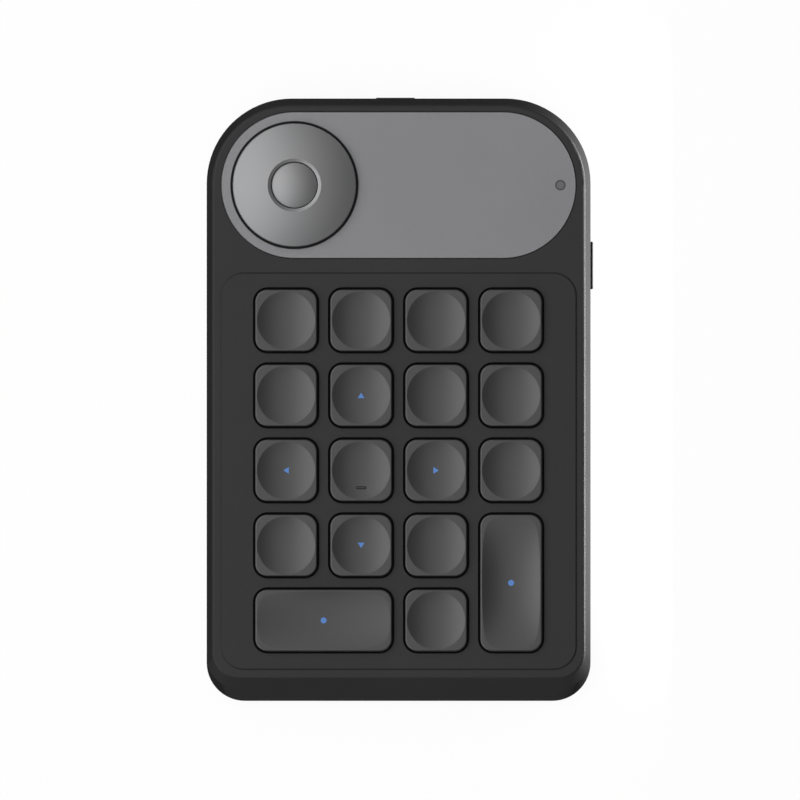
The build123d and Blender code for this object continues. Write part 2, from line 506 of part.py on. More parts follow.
def key_frame():
    """Plate over the dome mat, with a guide cup for each plunger and the wire hooks."""
    plate = extrude(inside_outline(BOARD_TOP_Z), FRAME_TOP_Z - BOARD_TOP_Z)
    plate -= block(-BODY_WIDTH, BODY_WIDTH, KEY_FRAME_REAR_Y, BODY_LENGTH, BOARD_TOP_Z,
                   FRAME_TOP_Z)
    plate -= prism(mat_outline(MAT_CLEARANCE), BOARD_TOP_Z, FRAME_Z)
    for x, y, _ in SCREWS:
        plate -= Pos(x, y) * rod(SCREW_R + SCREW_CLEARANCE, BOARD_TOP_Z, FRAME_TOP_Z)
    plate -= power_room(BOARD_TOP_Z, FRAME_TOP_Z)
    for place, span in KEY_PLACES:
        plate += place * rod(CUP_R, FRAME_Z, CUP_TOP_Z)
        plate -= place * rod(CUP_R - CUP_WALL, FRAME_Z, CUP_UNDER_Z)
        plate -= place * rod(PLUNGER_R + PLUNGER_CLEARANCE, CUP_UNDER_Z, CUP_TOP_Z)
        if span == 2:
            for side in (-1, 1):
                plate += place * Pos(side * HOOK_X, WIRE_BAR_Y) * wire_hook()
    return plate


def mat_outline(grow):
    """Sheet under the key field, up to the screw bosses at the sides."""
    half_width = KEY_SCREW_X - BOSS_R - MAT_MARGIN + grow
    front_y = ROW_Y[-1] - PITCH / 2 - grow
    rear_y = KEY_FRAME_REAR_Y - 2 * MAT_MARGIN + grow
    return Pos(0, (front_y + rear_y) / 2) * Rectangle(2 * half_width, rear_y - front_y)


def dome_mat():
    """Silicone sheet with one hollow dome under each plunger."""
    mat = prism(mat_outline(0), BOARD_TOP_Z, FRAME_Z)
    for place, _ in KEY_PLACES:
        mat += place * cone(DOME_BASE_R, DOME_TOP_R, FRAME_Z, DOME_TOP_Z)
        mat -= place * cone(DOME_BASE_R - DOME_WALL, DOME_TOP_R - DOME_WALL, BOARD_TOP_Z,
                            DOME_TOP_Z - 2 * DOME_WALL)
    return mat


def cone(low_r, high_r, low, high):
    return turned((0, low), (low_r, low), (high_r, high), (0, high))


# ---- stabiliser wires -------------------------------------------------------------------------
def wire_tip_y():
    return WIRE_BAR_Y - WIRE_ARM * cos(radians(WIRE_TILT))


def wire_tip_z():
    return WIRE_AXIS_Z + WIRE_ARM * sin(radians(WIRE_TILT))


def wire_clip_x():
    return WIRE_SPAN / 2 + WIRE_TIP - CLIP_LENGTH / 2


def stabiliser_wire():
    """Bent wire: a bar in the hooks, two arms, and two tips that sit in the cap's clips."""
    end_x = WIRE_SPAN / 2 + WIRE_TIP
    path = FilletPolyline(
        (-end_x, -WIRE_ARM), (-WIRE_SPAN / 2, -WIRE_ARM), (-WIRE_SPAN / 2, 0),
        (WIRE_SPAN / 2, 0), (WIRE_SPAN / 2, -WIRE_ARM), (end_x, -WIRE_ARM), radius=WIRE_BEND_R)
    start = Plane(origin=path @ 0, z_dir=path % 0)
    wire = sweep(start * Circle(WIRE_R), path)
    return Pos(0, WIRE_BAR_Y, WIRE_AXIS_Z) * Rot(-WIRE_TILT, 0, 0) * wire


def wire_hook():
    """Post with a snap-in bore for the bar, drawn about the bar's axis in plan."""
    bore_r = WIRE_R + WIRE_BORE_CLEARANCE
    hook = prism(Rectangle(HOOK_LENGTH, HOOK_WIDTH), FRAME_Z, WIRE_AXIS_Z + HOOK_RISE)
    axis = Plane(origin=(-HOOK_LENGTH, 0, WIRE_AXIS_Z), z_dir=(1, 0, 0))
    hook -= extrude(axis * Circle(bore_r), 2 * HOOK_LENGTH)
    return hook - prism(Rectangle(HOOK_LENGTH, HOOK_MOUTH), WIRE_AXIS_Z, WIRE_AXIS_Z + HOOK_RISE)


def wire_clip():
    """Clip under the cap, with a slot that lets the wire's tip swing."""
    slot_half = WIRE_R + CLIP_PLAY
    clip_z = wire_tip_z() - slot_half - CLIP_WALL
    clip = prism(Rectangle(CLIP_LENGTH, CLIP_WIDTH), clip_z, CAP_UNDER_Z)
    slot = Rectangle(CLIP_LENGTH, 2 * (slot_half + CLIP_SLIDE))
    return clip - prism(slot, wire_tip_z() - slot_half, wire_tip_z() + slot_half)


# ---- dial -------------------------------------------------------------------------------------
def dome_drop(radius, outer, inner):
    """How far a dome of the given radius falls between two distances from its axis."""
    return (radius**2 - inner**2) ** 0.5 - (radius**2 - outer**2) ** 0.5


def dial_cap():
    """Domed metal shell of the dial, with a countersunk hole for the button."""
    rim_r = DIAL_R - DIAL_EDGE_R
    rim_z = DIAL_TOP_Z - dome_drop(DIAL_DOME_R, rim_r, LIP_OUTER_R)
    inner_r = DIAL_R - DIAL_WALL
    middle_r = (rim_r + LIP_OUTER_R) / 2
    middle_z = DIAL_TOP_Z - dome_drop(DIAL_DOME_R, middle_r, LIP_OUTER_R)
    under_z = DIAL_TOP_Z - DIAL_CROWN_T
    dome = ThreePointArc((rim_r, rim_z), (middle_r, middle_z), (LIP_OUTER_R, DIAL_TOP_Z))
    edge = Line((DIAL_R, rim_z - DIAL_EDGE_R), (rim_r, rim_z))
    rest = Polyline(
        (LIP_OUTER_R, DIAL_TOP_Z), (LIP_INNER_R, DIAL_TOP_Z - LIP_DEPTH),
        (LIP_INNER_R, under_z), (HUB_R + DIAL_WALL, under_z), (inner_r - DIAL_WALL, CAP_SEAT_Z),
        (inner_r, CAP_SEAT_Z), (inner_r, DIAL_SKIRT_Z), (DIAL_R, DIAL_SKIRT_Z),
        (DIAL_R, rim_z - DIAL_EDGE_R))
    return DIAL_AT * revolve(Plane.XZ * make_face(dome + edge + rest), Axis.Z)


def dial_hub():
    bore_r = BUSH_R + HUB_CLEARANCE
    low = BOARD_TOP_Z + BUSH_FOOT_T + HUB_THRUST_GAP
    disc_r = DIAL_R - DIAL_WALL - HUB_CLEARANCE
    high = CLIP_RING_Z - HUB_THRUST_GAP
    return DIAL_AT * turned(
        (bore_r, low), (HUB_R, low), (HUB_R, HUB_DISC_Z), (disc_r, HUB_DISC_Z),
        (disc_r, CAP_SEAT_Z), (HUB_R, CAP_SEAT_Z), (HUB_R, high), (bore_r, high))


def dial_bush():
    """Fixed post that the dial turns on and the button slides in."""
    foot_top = BOARD_TOP_Z + BUSH_FOOT_T
    groove_r = BUSH_R - CLIP_GROOVE
    return DIAL_AT * turned(
        (BUSH_FLANGE_BORE_R, BOARD_TOP_Z), (BUSH_FOOT_R, BOARD_TOP_Z), (BUSH_FOOT_R, foot_top),
        (BUSH_R, foot_top), (BUSH_R, CLIP_RING_Z), (groove_r, CLIP_RING_Z),
        (groove_r, CLIP_RING_Z + CLIP_RING_T), (BUSH_R, CLIP_RING_Z + CLIP_RING_T),
        (BUSH_R, BUSH_TOP_Z), (BUSH_BORE_R, BUSH_TOP_Z), (BUSH_BORE_R, BUSH_STEP_Z),
        (BUSH_FLANGE_BORE_R, BUSH_STEP_Z))


def dial_clip():
    """Open ring in the bush's groove that keeps the hub down."""
    inner_r = BUSH_R - CLIP_GROOVE + CLIP_RING_GAP
    ring = Circle(CLIP_RING_R) - Circle(inner_r)
    ring -= Pos(0, -CLIP_RING_R) * Rectangle(inner_r, 2 * (CLIP_RING_R - inner_r / 2))
    low = CLIP_RING_Z + CLIP_RING_GAP
    return DIAL_AT * prism(ring, low, CLIP_RING_Z + CLIP_RING_T - CLIP_RING_GAP)


def encoder_rotor():
    """Notched ring on the hub: one notch for each click of the dial."""
    ring = Circle(ROTOR_R) - Circle(HUB_R + ROTOR_FIT)
    for notch in PolarLocations(ROTOR_R - DETENT_DEPTH + DETENT_R, DETENTS):
        ring -= notch * Circle(DETENT_R)
    return DIAL_AT * prism(ring, ROTOR_Z, ROTOR_Z + ROTOR_T)


def encoder_body():
    inner_r = ENCODER_R - ENCODER_WALL
    floor_r = BUSH_FOOT_R + HUB_CLEARANCE
    floor_z = BOARD_TOP_Z + ENCODER_FLOOR
    top_z = BOARD_TOP_Z + ENCODER_HEIGHT
    return DIAL_AT * turned(
        (floor_r, BOARD_TOP_Z), (ENCODER_R, BOARD_TOP_Z), (ENCODER_R, top_z), (inner_r, top_z),
        (inner_r, floor_z), (floor_r, floor_z))


def detent_spring():
    """Leaf inside the encoder's wall, with a nose that clicks over the notches."""
    leaf = arc_band(LEAF_R, LEAF_R + LEAF_T, LEAF_HALF_ANGLE)
    for side in (-1, 1):
        pad = arc_band(LEAF_R, ENCODER_R - ENCODER_WALL, LEAF_PAD_ANGLE)
        leaf += Rot(0, 0, side * LEAF_HALF_ANGLE) * pad
    nose = Pos(LEAF_R, 0) * Circle(NOSE_R)
    leaf += nose & Pos(LEAF_R - NOSE_R, 0) * Rectangle(2 * NOSE_R, 4 * NOSE_R)
    middle_z = ROTOR_Z + ROTOR_T / 2
    return DIAL_AT * prism(leaf, middle_z - LEAF_HEIGHT / 2, middle_z + LEAF_HEIGHT / 2)


def arc_band(inner_r, outer_r, half_angle):
    """Piece of a flat ring, centred on the X axis."""
    reach = 2 * outer_r
    wedge = make_face(Polyline(
        (0, 0), (reach * cos(radians(half_angle)), -reach * sin(radians(half_angle))),
        (reach * cos(radians(half_angle)), reach * sin(radians(half_angle))), close=True))
    return (Circle(outer_r) - Circle(inner_r)) & wedge


def dial_button():
    """Domed push button: a skirt with a stop flange, and a stem down to its switch."""
    crown_z = BUTTON_RIM_Z + dome_drop(BUTTON_DOME_R, BUTTON_R, 0)
    half_z = BUTTON_RIM_Z + dome_drop(BUTTON_DOME_R, BUTTON_R, BUTTON_R / 2)
    inner_r = BUTTON_R - BUTTON_WALL
    flange_r = BUTTON_R + BUTTON_FLANGE
    stem_z = ACTUATOR_TOP_Z + SWITCH_TOUCH_GAP
    under_z = BUTTON_RIM_Z - BUTTON_TOP_T
    dome = ThreePointArc((BUTTON_R, BUTTON_RIM_Z), (BUTTON_R / 2, half_z), (0, crown_z))
    rest = Polyline(
        (0, crown_z), (0, stem_z), (BUTTON_STEM_R, stem_z), (BUTTON_STEM_R, under_z),
        (inner_r, under_z), (inner_r, BUTTON_FLANGE_Z), (flange_r, BUTTON_FLANGE_Z),
        (flange_r, BUTTON_FLANGE_Z + BUTTON_FLANGE_T),
        (BUTTON_R, BUTTON_FLANGE_Z + BUTTON_FLANGE_T), (BUTTON_R, BUTTON_RIM_Z))
    return DIAL_AT * revolve(Plane.XZ * make_face(dome + rest), Axis.Z)


def button_switch():
    """Square push switch on the board, with a bore for its actuator."""
    body = prism(Rectangle(SWITCH_SIZE, SWITCH_SIZE), BOARD_TOP_Z, SWITCH_TOP_Z)
    bore_z = SWITCH_TOP_Z - ACTUATOR_IN - BUTTON_TRAVEL - BUTTON_STOP_GAP
    return DIAL_AT * (body - rod(ACTUATOR_R + ACTUATOR_CLEARANCE, bore_z, SWITCH_TOP_Z))


def button_switch_actuator():
    return DIAL_AT * rod(ACTUATOR_R, SWITCH_TOP_Z - ACTUATOR_IN, ACTUATOR_TOP_Z)


# ---- power button -----------------------------------------------------------------------------
def from_side(x, sketch, depth):
    """The sketch extruded along +X from x, at the power button's middle."""
    return extrude(Plane(origin=(x, POWER_Y, POWER_Z), x_dir=(0, 1, 0), z_dir=(1, 0, 0)) * sketch,
                   depth)


def power_button():
    face_x = SIDE_X + POWER_PROUD
    key = from_side(POWER_FLANGE_X - POWER_FLANGE_T, Rectangle(POWER_LENGTH, POWER_HEIGHT),
                    face_x - POWER_FLANGE_X + POWER_FLANGE_T)
    key = fillet(key.edges().group_by(Axis.X)[-1], POWER_EDGE_R)
    flange = Rectangle(POWER_LENGTH + 2 * POWER_FLANGE, POWER_HEIGHT + 2 * POWER_FLANGE)
    return key + from_side(POWER_FLANGE_X - POWER_FLANGE_T, flange, POWER_FLANGE_T)


def power_switch():
    body = from_side(POWER_SWITCH_X - POWER_SWITCH_DEPTH,
                     Rectangle(POWER_SWITCH_LENGTH, SWITCH_HEIGHT), POWER_SWITCH_DEPTH)
    bore_x = POWER_SWITCH_X - ACTUATOR_IN - POWER_TRAVEL - BUTTON_STOP_GAP
    bore = Circle(POWER_ACTUATOR_R + ACTUATOR_CLEARANCE)
    return body - from_side(bore_x, bore, POWER_SWITCH_X - bore_x)


def power_switch_actuator():
    return from_side(POWER_SWITCH_X - ACTUATOR_IN, Circle(POWER_ACTUATOR_R),
                     ACTUATOR_IN + ACTUATOR_OUT)


# ---- boards, socket, battery and wiring -----------------------------------------------------
def board_holes(board):
    for x, y, _ in SCREWS:
        board -= Pos(x, y) * rod(SCREW_R + SCREW_CLEARANCE, BOARD_Z, BOARD_TOP_Z)
    return board


def board_blank():
    return extrude(inside_outline(BOARD_Z), BOARD_T)


def key_board():
    """Board under the keys, with a tab beside the battery for the power switch and lamp."""
    field = block(-BODY_WIDTH, BODY_WIDTH, -BODY_LENGTH, KEY_BOARD_REAR_Y, BOARD_Z, BOARD_TOP_Z)
    tab = block(TAB_LEFT_X, BODY_WIDTH, KEY_BOARD_REAR_Y, TAB_REAR_Y, BOARD_Z, BOARD_TOP_Z)
    return board_holes(board_blank() & (field + tab))


def main_board():
    area = block(-BODY_WIDTH, MAIN_BOARD_RIGHT_X, MAIN_BOARD_FRONT_Y, BODY_LENGTH, BOARD_Z,
                 BOARD_TOP_Z)
    return board_holes(board_blank() & area)


def usb_shell():
    """Drawn steel shell of the socket."""
    inside = Plane(origin=(USB_X, USB_MOUTH_Y, USB_Z), x_dir=(1, 0, 0), z_dir=(0, -1, 0))
    hollow = SlotOverall(USB_WIDTH - 2 * USB_SHEET, USB_HEIGHT - 2 * USB_SHEET)
    return usb_opening(0) - extrude(inside * hollow, USB_LENGTH)


def usb_tongue():
    """Insulator: a block that closes the shell's back and the tongue in its mouth."""
    facing_rear = Plane(origin=(USB_X, USB_MOUTH_Y - USB_LENGTH, USB_Z), x_dir=(-1, 0, 0),
                        z_dir=(0, 1, 0))
    plug = SlotOverall(USB_WIDTH - 2 * USB_SHEET, USB_HEIGHT - 2 * USB_SHEET)
    tongue = Rectangle(TONGUE_WIDTH, TONGUE_T)
    return (extrude(facing_rear * plug, USB_BLOCK)
            + extrude(facing_rear * tongue, USB_LENGTH - TONGUE_SETBACK))


def battery():
    cell = Box(BATTERY_WIDTH, BATTERY_LENGTH, BATTERY_T)
    cell = fillet(cell.edges().filter_by(Axis.Y), BATTERY_EDGE_R)
    return Pos(BATTERY_X, BATTERY_Y, BATTERY_Z + BATTERY_T / 2) * cell


def battery_tape():
    return Pos(BATTERY_X, BATTERY_Y) * prism(
        Rectangle(TAPE_WIDTH, TAPE_LENGTH), FLOOR_TOP_Z, BATTERY_Z)


def battery_plug():
    """Two-pole connector on the main board."""
    return Pos(PLUG_X, PLUG_Y) * prism(
        Rectangle(PLUG_LENGTH, PLUG_WIDTH), BOARD_TOP_Z, BOARD_TOP_Z + PLUG_HEIGHT)


def battery_leads():
    """Two short leads that step sideways between the plug and the cell."""
    start_x = PLUG_X + PLUG_LENGTH / 2
    end_x = BATTERY_X - BATTERY_WIDTH / 2
    leads = []
    for side in (-1, 1):
        y = PLUG_Y + side * LEAD_SPACING / 2
        bend_x = (start_x + end_x) / 2 + side * LEAD_SPACING / 2
        path = FilletPolyline(
            (start_x, y, LEAD_Z), (bend_x, y, LEAD_Z), (bend_x, y - LEAD_OFFSET, LEAD_Z),
            (end_x, y - LEAD_OFFSET, LEAD_Z), radius=LEAD_BEND_R)
        leads.append(sweep(Plane(origin=path @ 0, z_dir=path % 0) * Circle(LEAD_R), path))
    return leads


def radio_shield():
    """Tinned can over the radio and controller."""
    return Pos(RADIO_X, RADIO_Y) * prism(
        RectangleRounded(RADIO_WIDTH, RADIO_LENGTH, RADIO_CORNER_R), BOARD_TOP_Z,
        BOARD_TOP_Z + RADIO_T)


def socket_ys():
    """Front and rear edge of each ribbon socket."""
    key_side = KEY_BOARD_REAR_Y - SOCKET_EDGE
    main_side = MAIN_BOARD_FRONT_Y + SOCKET_EDGE
    return (key_side - SOCKET_DEPTH, key_side), (main_side, main_side + SOCKET_DEPTH)


def ribbon_sockets():
    return [block(RADIO_X - SOCKET_WIDTH / 2, RADIO_X + SOCKET_WIDTH / 2, low, high,
                  BOARD_TOP_Z, BOARD_TOP_Z + SOCKET_HEIGHT) for low, high in socket_ys()]


def ribbon_cable():
    """Flat flexible cable between the two boards."""
    (_, start_y), (end_y, _) = socket_ys()
    return block(RADIO_X - RIBBON_WIDTH / 2, RADIO_X + RIBBON_WIDTH / 2, start_y, end_y,
                 BOARD_TOP_Z + RIBBON_RISE, BOARD_TOP_Z + RIBBON_RISE + RIBBON_T)


def solids_of(shape):
    """One compound of the separate solids in a shape or in a list of shapes."""
    shapes = shape if isinstance(shape, list) else [shape]
    return Compound([solid for one in shapes for solid in one.solids()])


NODES = {
    "bottom_case": bottom_case,
    "top_housing": top_housing,
    "rubber_feet": rubber_feet,
    "case_screws": case_screws,
    "faceplate": faceplate,
    "status_lens": status_lens,
    "status_led": status_led,
    "key_frame": key_frame,
    "dome_mat": dome_mat,
    "stabiliser_wire_wide": lambda: WIDE_KEY * stabiliser_wire(),
    "stabiliser_wire_tall": lambda: TALL_KEY * stabiliser_wire(),
    "dial_cap": dial_cap,
    "dial_hub": dial_hub,
    "dial_bush": dial_bush,
    "dial_clip": dial_clip,
    "encoder_rotor": encoder_rotor,
    "encoder_body": encoder_body,
    "detent_spring": detent_spring,
    "dial_button": dial_button,
    "button_switch": button_switch,
    "button_switch_actuator": button_switch_actuator,
    "power_button": power_button,
    "power_switch": power_switch,
    "power_switch_actuator": power_switch_actuator,
    "key_board": key_board,
    "main_board": main_board,
    "usb_shell": usb_shell,
    "usb_tongue": usb_tongue,
    "battery": battery,
    "battery_tape": battery_tape,
    "battery_plug": battery_plug,
    "battery_leads": battery_leads,
    "radio_shield": radio_shield,
    "ribbon_sockets": ribbon_sockets,
    "ribbon_cable": ribbon_cable,
}

os.makedirs("parts", exist_ok=True)
for node, make in NODES.items():
    export_step(solids_of(make()), f"parts/{node}.step")
for node, cap in keycaps().items():
    export_step(solids_of(cap), f"parts/{node}.step")
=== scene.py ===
# %% [markdown]
# # A macro keypad with a dial
# The keypad comes in as a finished construction model: every shell, key, board and screw is
# already there, at its real size. This lesson gives it its looks. It sets up a straight top
# view, a soft studio and a white table, then builds one finish after another. Last it models
# what the construction model leaves out or holds stiff: the coloured marks, the soft domes
# under the keys and the ring round the status light. All lengths are in metres.

# %% The frame
import math
import bmesh
import bpy
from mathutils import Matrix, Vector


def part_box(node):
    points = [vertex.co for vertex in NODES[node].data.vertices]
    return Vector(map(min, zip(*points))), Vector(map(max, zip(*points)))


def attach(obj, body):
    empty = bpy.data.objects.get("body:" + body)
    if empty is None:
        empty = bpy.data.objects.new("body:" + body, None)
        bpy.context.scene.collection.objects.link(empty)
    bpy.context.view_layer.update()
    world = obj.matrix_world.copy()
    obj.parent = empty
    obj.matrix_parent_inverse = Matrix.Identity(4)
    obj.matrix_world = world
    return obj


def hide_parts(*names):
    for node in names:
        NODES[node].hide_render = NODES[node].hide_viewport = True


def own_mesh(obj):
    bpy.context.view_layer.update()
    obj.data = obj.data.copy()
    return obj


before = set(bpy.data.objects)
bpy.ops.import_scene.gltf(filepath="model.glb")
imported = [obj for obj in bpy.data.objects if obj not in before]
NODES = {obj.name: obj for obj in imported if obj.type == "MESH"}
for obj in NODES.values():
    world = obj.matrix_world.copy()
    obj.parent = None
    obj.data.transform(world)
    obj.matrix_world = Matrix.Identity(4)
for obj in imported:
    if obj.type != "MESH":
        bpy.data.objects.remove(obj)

MM = 0.001
bpy.ops.object.select_all(action="DESELECT")
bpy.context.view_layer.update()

# %% [markdown]
# ## The camera
# The keypad is looked at from straight above, and its sides don't show at all. A camera with
# perspective would have to stand very far off for that. One without perspective gives it from
# anywhere, and only needs the width that the picture spans, which is 203.2 mm for 800 picture
# elements of 0.254 mm. The body lies a little off the middle of the picture.

# %% Camera
PIXEL = 0.254 * MM
IMAGE_SIDE = 800
BODY_MIDDLE_PX = (398.6, 399.7)
CAMERA_HEIGHT = 0.6
shift_x = (IMAGE_SIDE / 2 - BODY_MIDDLE_PX[0]) * PIXEL
shift_y = (BODY_MIDDLE_PX[1] - IMAGE_SIDE / 2) * PIXEL
bpy.ops.object.camera_add(location=(shift_x, shift_y, CAMERA_HEIGHT), rotation=(0, 0, 0))
camera = bpy.context.object
camera.name = "camera"
camera.data.type = "ORTHO"
camera.data.ortho_scale = IMAGE_SIDE * PIXEL
bpy.context.scene.camera = camera
print("camera spans", round(camera.data.ortho_scale / MM, 1), "mm")

# %% [markdown]
# ## The studio
# A wide soft light stands high on the left, so that a face turned to the left is bright and one
# turned to the right is dark. It is long from front to rear, so the shades change from left to
# right only. A second one hangs above and lifts the tops a little. A short strip lies beside the
# right wall, lower than the top face, and lights only that wall: it is tipped up, so that the
# table beside it hardly shows it. A panorama of a studio could give all this at once, but three
# lamps are easier to move and to dim one by one. The even light of the world fills the rest, at
# a level where a grey renders about as it is written.

# %% Lamps and world
WORLD_LEVEL = 0.18
STRIP_TURN = math.radians(151)       # 180 would face straight up, 90 straight at the keypad


def soft_lamp(name, place, size, power):
    """Rectangular lamp that faces the keypad; size is its width across, then its length."""
    x, _, z = place
    turn = math.atan2(x, z)
    bpy.ops.object.light_add(type="AREA", location=place, rotation=(0, turn, 0))
    lamp = bpy.context.object
    lamp.name = name
    lamp.data.shape = "RECTANGLE"
    lamp.data.size, lamp.data.size_y = size
    lamp.data.energy = power
    print(name, power, "W")
    return lamp


soft_lamp("lamp_high_left", (-0.53, 0.16, 0.69), (0.74, 1.90), 8.7)
soft_lamp("lamp_above", (0.0, 0.20, 1.10), (0.55, 1.70), 2.3)
side_strip = soft_lamp("lamp_low_right", (0.075, 0.01, 0.003), (0.005, 0.15), 0.46)
side_strip.rotation_euler.y = STRIP_TURN
side_strip.visible_camera = False

world = bpy.data.worlds.new("studio")
world.use_nodes = True
bpy.context.scene.world = world
world_nodes = world.node_tree.nodes
world_nodes["Background"].inputs["Color"].default_value = (1, 1, 1, 1)
world_nodes["Background"].inputs["Strength"].default_value = WORLD_LEVEL
bpy.context.scene.view_settings.view_transform = "Standard"

# %% [markdown]
# ## The table
# The table is pure white, and still keeps the soft dark line that the keypad casts where it
# stands. More light would make it white too, but would wash out the keypad. Here the material
# mixes a glow of its own into a white surface, for the eye and for reflections only. The light
# that bounces from it to the keypad comes from a plain light grey, so the walls stay dark.

# %% Table
TABLE_SIDE = 6.0
TABLE_GLOW = 0.93            # share of the glow in what the eye and reflections see
TABLE_BOUNCE = 0.6           # share of the light that the table sends back to the keypad


def new_material(name):
    """Empty node material; gives the material, its nodes, its links and its output node."""
    material = bpy.data.materials.new(name)
    material.use_nodes = True
    nodes = material.node_tree.nodes
    nodes.clear()
    return material, nodes, material.node_tree.links, nodes.new("ShaderNodeOutputMaterial")


def maths(nodes, links, operation, *values):
    """Math node on numbers or outputs; gives its output."""
    node = nodes.new("ShaderNodeMath")
    node.operation = operation
    for socket, value in zip(node.inputs, values):
        if hasattr(value, "is_linked"):
            links.new(value, socket)
        else:
            socket.default_value = value
    return node.outputs[0]


def table_white():
    """White with a glow of its own for the eye, for reflections and through clear things."""
    material, nodes, links, output = new_material("table_white")
    plain = nodes.new("ShaderNodeBsdfDiffuse")
    glow = nodes.new("ShaderNodeEmission")
    path = nodes.new("ShaderNodeLightPath")
    seen = maths(nodes, links, "MAXIMUM", path.outputs["Is Camera Ray"],
                 path.outputs["Is Transmission Ray"])
    seen = maths(nodes, links, "MAXIMUM", seen, path.outputs["Is Glossy Ray"])
    links.new(maths(nodes, links, "MAXIMUM", seen, TABLE_BOUNCE), plain.inputs["Color"])
    share = maths(nodes, links, "MULTIPLY", seen, TABLE_GLOW)
    mix = nodes.new("ShaderNodeMixShader")
    links.new(share, mix.inputs[0])
    links.new(plain.outputs[0], mix.inputs[1])
    links.new(glow.outputs[0], mix.inputs[2])
    links.new(mix.outputs[0], output.inputs["Surface"])
    return material


bpy.ops.mesh.primitive_plane_add(size=TABLE_SIDE, location=(0, 0, 0))
table = bpy.context.object
table.name = "table"
table.data.materials.append(table_white())
bpy.ops.object.select_all(action="DESELECT")
print("table:", TABLE_SIDE, "m wide")

# %% [markdown]
# ## Node groups for what every finish shares
# Moulded and painted surfaces differ in colour and gloss, but all have a fine grain, a tone that
# wavers slowly, and lighter edges: wear, and on the housing and the dial also a painted
# highlight. Each of these is one node group, built once and placed in every material with its
# own values. The first one is the grain: two sizes of noise, which give a height for the bump
# and a speckle for the roughness.

# %% Grain
def node_group(name, inputs, outputs):
    """Shader node group with number inputs; gives it with its input and its output node."""
    group = bpy.data.node_groups.new(name, "ShaderNodeTree")
    for label, value in inputs.items():
        socket = group.interface.new_socket(label, in_out="INPUT", socket_type="NodeSocketFloat")
        socket.default_value = value
    for label in outputs:
        group.interface.new_socket(label, in_out="OUTPUT", socket_type="NodeSocketFloat")
    return group, group.nodes.new("NodeGroupInput"), group.nodes.new("NodeGroupOutput")


def noise(group, place, scale, detail=2.0):
    """Noise texture in object space; gives its output."""
    texture = group.nodes.new("ShaderNodeTexNoise")
    texture.inputs["Detail"].default_value = detail
    group.links.new(place.outputs["Object"], texture.inputs["Vector"])
    group.links.new(scale, texture.inputs["Scale"])
    return texture.outputs["Fac"]


grain_group, given, result = node_group(
    "fine_grain", {"Scale": 5000.0, "Coarse": 0.35}, ["Height", "Speckle"])
place = grain_group.nodes.new("ShaderNodeTexCoord")
fine = noise(grain_group, place, given.outputs["Scale"])
fewer = maths(grain_group.nodes, grain_group.links, "DIVIDE", given.outputs["Scale"], 5.0)
coarse = noise(grain_group, place, fewer)
coarse_part = maths(grain_group.nodes, grain_group.links, "MULTIPLY", coarse,
                    given.outputs["Coarse"])
height = maths(grain_group.nodes, grain_group.links, "ADD", fine, coarse_part)
speckle = maths(grain_group.nodes, grain_group.links, "SUBTRACT", fine, 0.5)
grain_group.links.new(height, result.inputs["Height"])
grain_group.links.new(speckle, result.inputs["Speckle"])
print("group:", grain_group.name)

# %% [markdown]
# The second group is the slow tone. No moulding or coat has quite the same colour all over: it
# wavers over centimetres, by an amount that is felt more than seen. Noise seldom leaves the
# middle of its range, so that middle is spread over the whole of it.

# %% Slow tone
def spread(nodes, links, value, low, high):
    """Spread what lies from low to high over 0 to 1; gives the output."""
    node = nodes.new("ShaderNodeMapRange")
    node.inputs["From Min"].default_value = low
    node.inputs["From Max"].default_value = high
    links.new(value, node.inputs["Value"])
    return node.outputs["Result"]


TONE_SCALE = 45.0            # patches in a metre, about
tone_group, given, result = node_group(
    "slow_tone", {"Scale": TONE_SCALE, "Amount": 1.0}, ["Mask"])
place = tone_group.nodes.new("ShaderNodeTexCoord")
waver = noise(tone_group, place, given.outputs["Scale"], 3.0)
waver = spread(tone_group.nodes, tone_group.links, waver, 0.35, 0.65)
mask = maths(tone_group.nodes, tone_group.links, "MULTIPLY", waver, given.outputs["Amount"])
tone_group.links.new(mask, result.inputs["Mask"])
print("group:", tone_group.name)

# %% [markdown]
# The third group finds the edges. A Bevel node gives the direction that the surface would have
# with rounded edges; where that differs from the true direction, there is an edge. The mask is
# broken up with noise, because fingers and sleeves don't rub an edge evenly. The lighter tone it
# lays on is wear, and on the housing and the dial also a painted highlight.

# %% Edge wear
EDGE_BEGINS, EDGE_FULL = 0.995, 0.90      # cosine between the true and the rounded direction
worn_and_highlit_group, given, result = node_group(
    "worn_and_highlit_edges", {"Radius": 0.0003, "Amount": 0.5, "Scale": 900.0}, ["Mask"])
place = worn_and_highlit_group.nodes.new("ShaderNodeTexCoord")
rounded = worn_and_highlit_group.nodes.new("ShaderNodeBevel")
rounded.samples = 3
worn_and_highlit_group.links.new(given.outputs["Radius"], rounded.inputs["Radius"])
true_shape = worn_and_highlit_group.nodes.new("ShaderNodeNewGeometry")
alike = worn_and_highlit_group.nodes.new("ShaderNodeVectorMath")
alike.operation = "DOT_PRODUCT"
worn_and_highlit_group.links.new(rounded.outputs[0], alike.inputs[0])
worn_and_highlit_group.links.new(true_shape.outputs["Normal"], alike.inputs[1])
edge = spread(worn_and_highlit_group.nodes, worn_and_highlit_group.links, alike.outputs["Value"], EDGE_BEGINS, EDGE_FULL)
patches = noise(worn_and_highlit_group, place, given.outputs["Scale"])
patches = spread(worn_and_highlit_group.nodes, worn_and_highlit_group.links, patches, 0.35, 0.60)
both = maths(worn_and_highlit_group.nodes, worn_and_highlit_group.links, "MULTIPLY", edge, patches)
mask = maths(worn_and_highlit_group.nodes, worn_and_highlit_group.links, "MULTIPLY", both, given.outputs["Amount"])
worn_and_highlit_group.links.new(mask, result.inputs["Mask"])
print("group:", worn_and_highlit_group.name)

